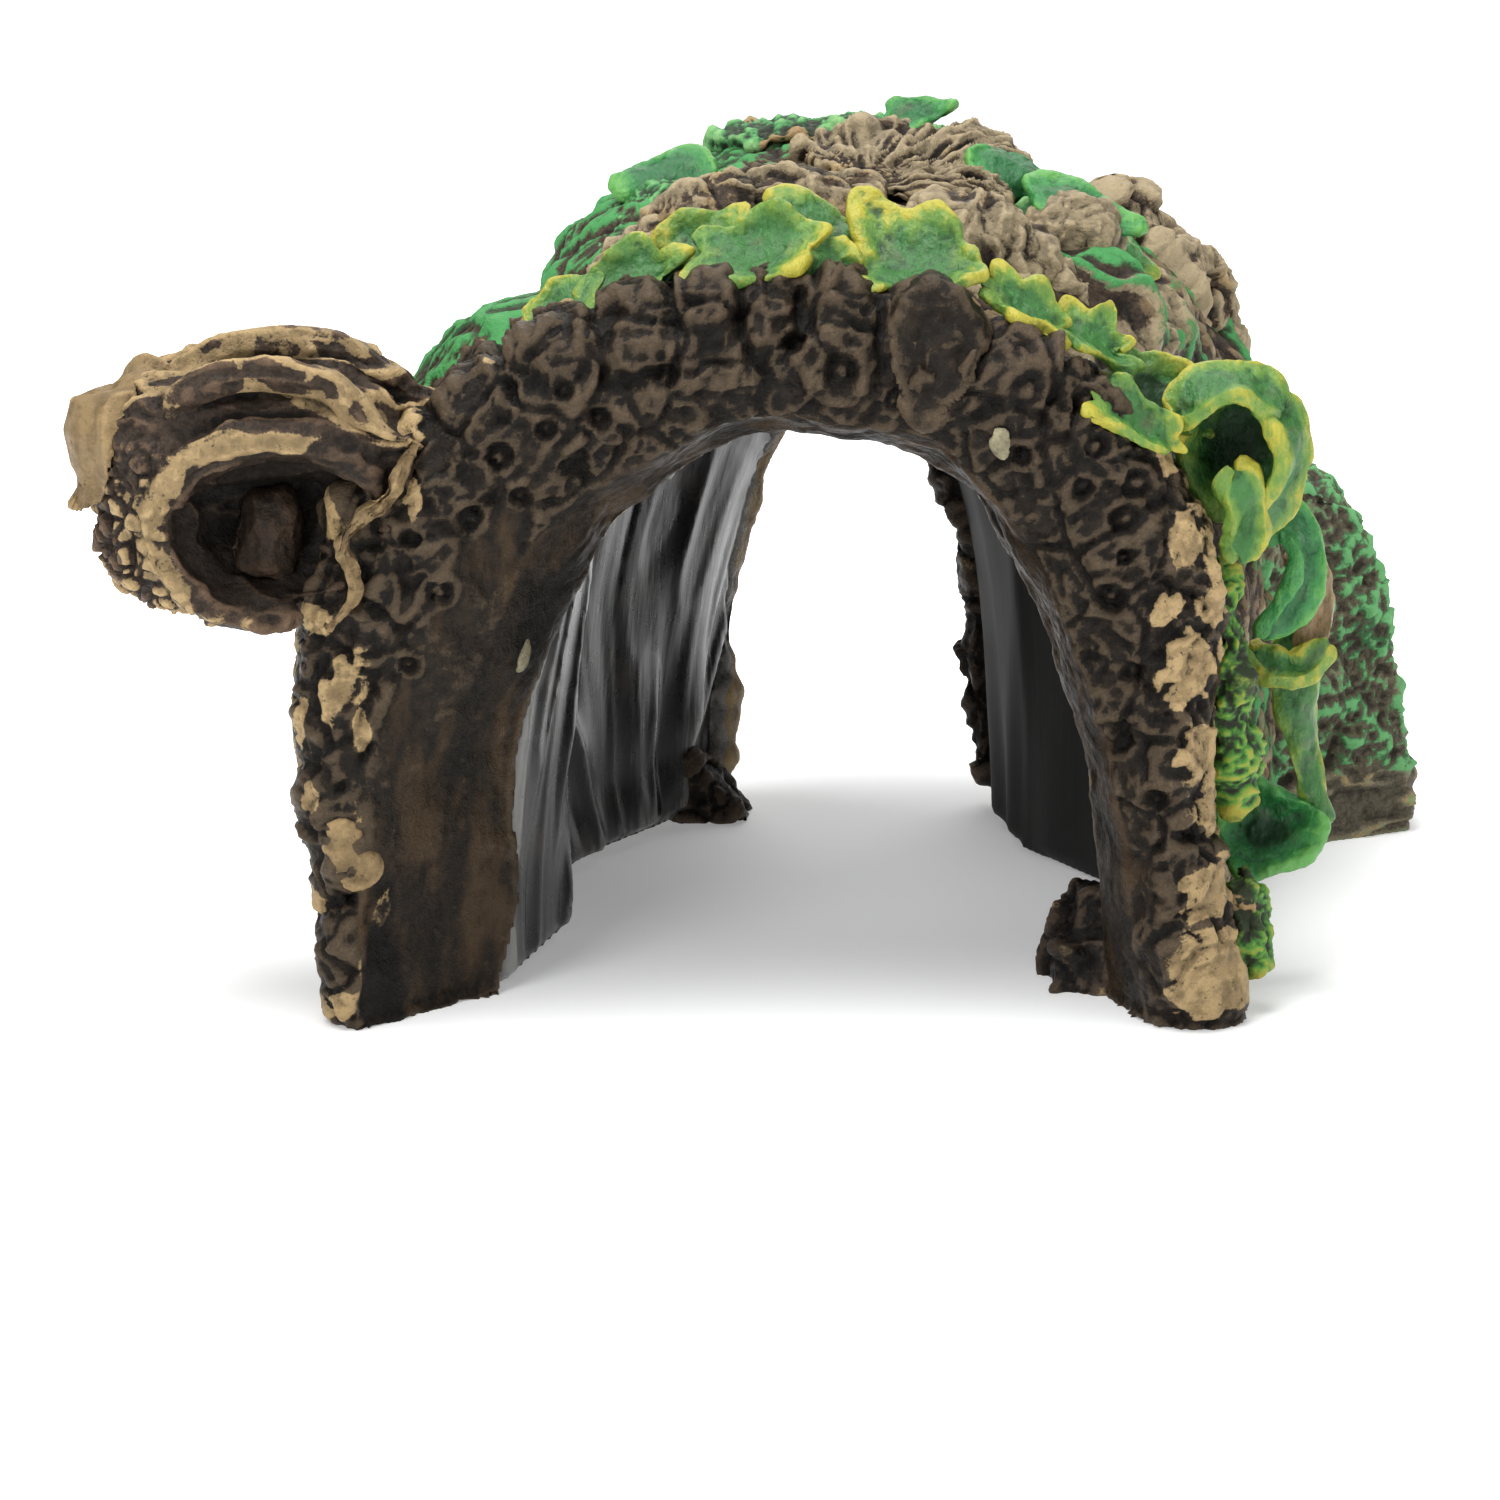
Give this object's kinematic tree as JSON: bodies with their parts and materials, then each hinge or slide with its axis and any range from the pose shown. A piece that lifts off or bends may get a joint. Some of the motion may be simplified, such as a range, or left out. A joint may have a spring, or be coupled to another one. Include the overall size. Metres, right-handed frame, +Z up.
{
  "type": "aquarium cave ornament",
  "caption": "Hollow log arch for an aquarium or terrarium, open front and rear, with a broken branch stub, bark knots, moss and leaves.",
  "frame": {"origin": "on the ground under the centre of the bounding box", "axes": "+X to the right as seen from the front mouth, +Y from the front mouth to the rear mouth, +Z up"},
  "size_m": [0.147, 0.1044, 0.0883],
  "materials": {
    "arch_bark": "satin",
    "log_bark": "satin",
    "pale_bark": "matte",
    "branch_bark": "matte",
    "dark_resin": "gloss",
    "moss": "matte",
    "leaf": "satin",
    "leaf_dark": "satin",
    "seed": "gloss"
  },
  "bodies": {
    "root": {"front_arch": "arch_bark", "log_shell": "log_bark", "tunnel_lining": "dark_resin", "rear_root": "log_bark", "right_root_toe": "dark_resin", "rear_left_toe": "dark_resin", "rear_left_jamb": "pale_bark", "rear_right_jamb": "dark_resin", "branch_stub": "branch_bark", "branch_tip": "pale_bark", "branch_core": "branch_bark", "hollow_rim": "pale_bark", "upper_bark_fold": "pale_bark", "top_bark_fold": "pale_bark", "junction_lip": "pale_bark", "crown_knob": "arch_bark", "roof_ledge": "pale_bark", "roof_boulder_left": "pale_bark", "roof_boulder_middle": "pale_bark", "roof_boulder_right": "pale_bark", "knot_stub": "pale_bark", "knot_stub_small": "pale_bark", "roof_strips": "pale_bark", "shoulder_plate": "pale_bark", "rear_plate": "log_bark", "moss_left_slope": "moss", "moss_top": "moss", "moss_right_shoulder": "moss", "moss_leg_strip": "moss", "moss_foot_sprig": "moss", "seed_mouth": "seed", "seed_crown": "seed", "bud_foot": "pale_bark", "leaf_crown_1": "leaf", "leaf_crown_2": "leaf", "leaf_crown_3": "leaf", "leaf_crown_4": "leaf", "leaf_crown_5": "leaf", "leaf_crown_6": "leaf", "leaf_crown_7": "leaf", "leaf_vine_1": "leaf", "leaf_vine_2": "leaf", "leaf_vine_3": "leaf", "leaf_vine_4": "leaf", "leaf_curl_top": "leaf", "leaf_curl_side": "leaf", "leaf_paddle": "leaf", "leaf_fold": "leaf_dark", "leaf_fold_back": "pale_bark", "leaf_horn": "leaf", "leaf_horn_cup": "leaf", "leaf_foot": "leaf_dark", "leaf_top_left": "leaf_dark", "leaf_left_edge": "leaf_dark", "leaf_summit": "leaf_dark", "leaf_right_1": "leaf_dark", "leaf_right_2": "leaf", "leaf_knot_cap": "leaf_dark", "leaf_right_3": "leaf"}
  },
  "joints": []
}
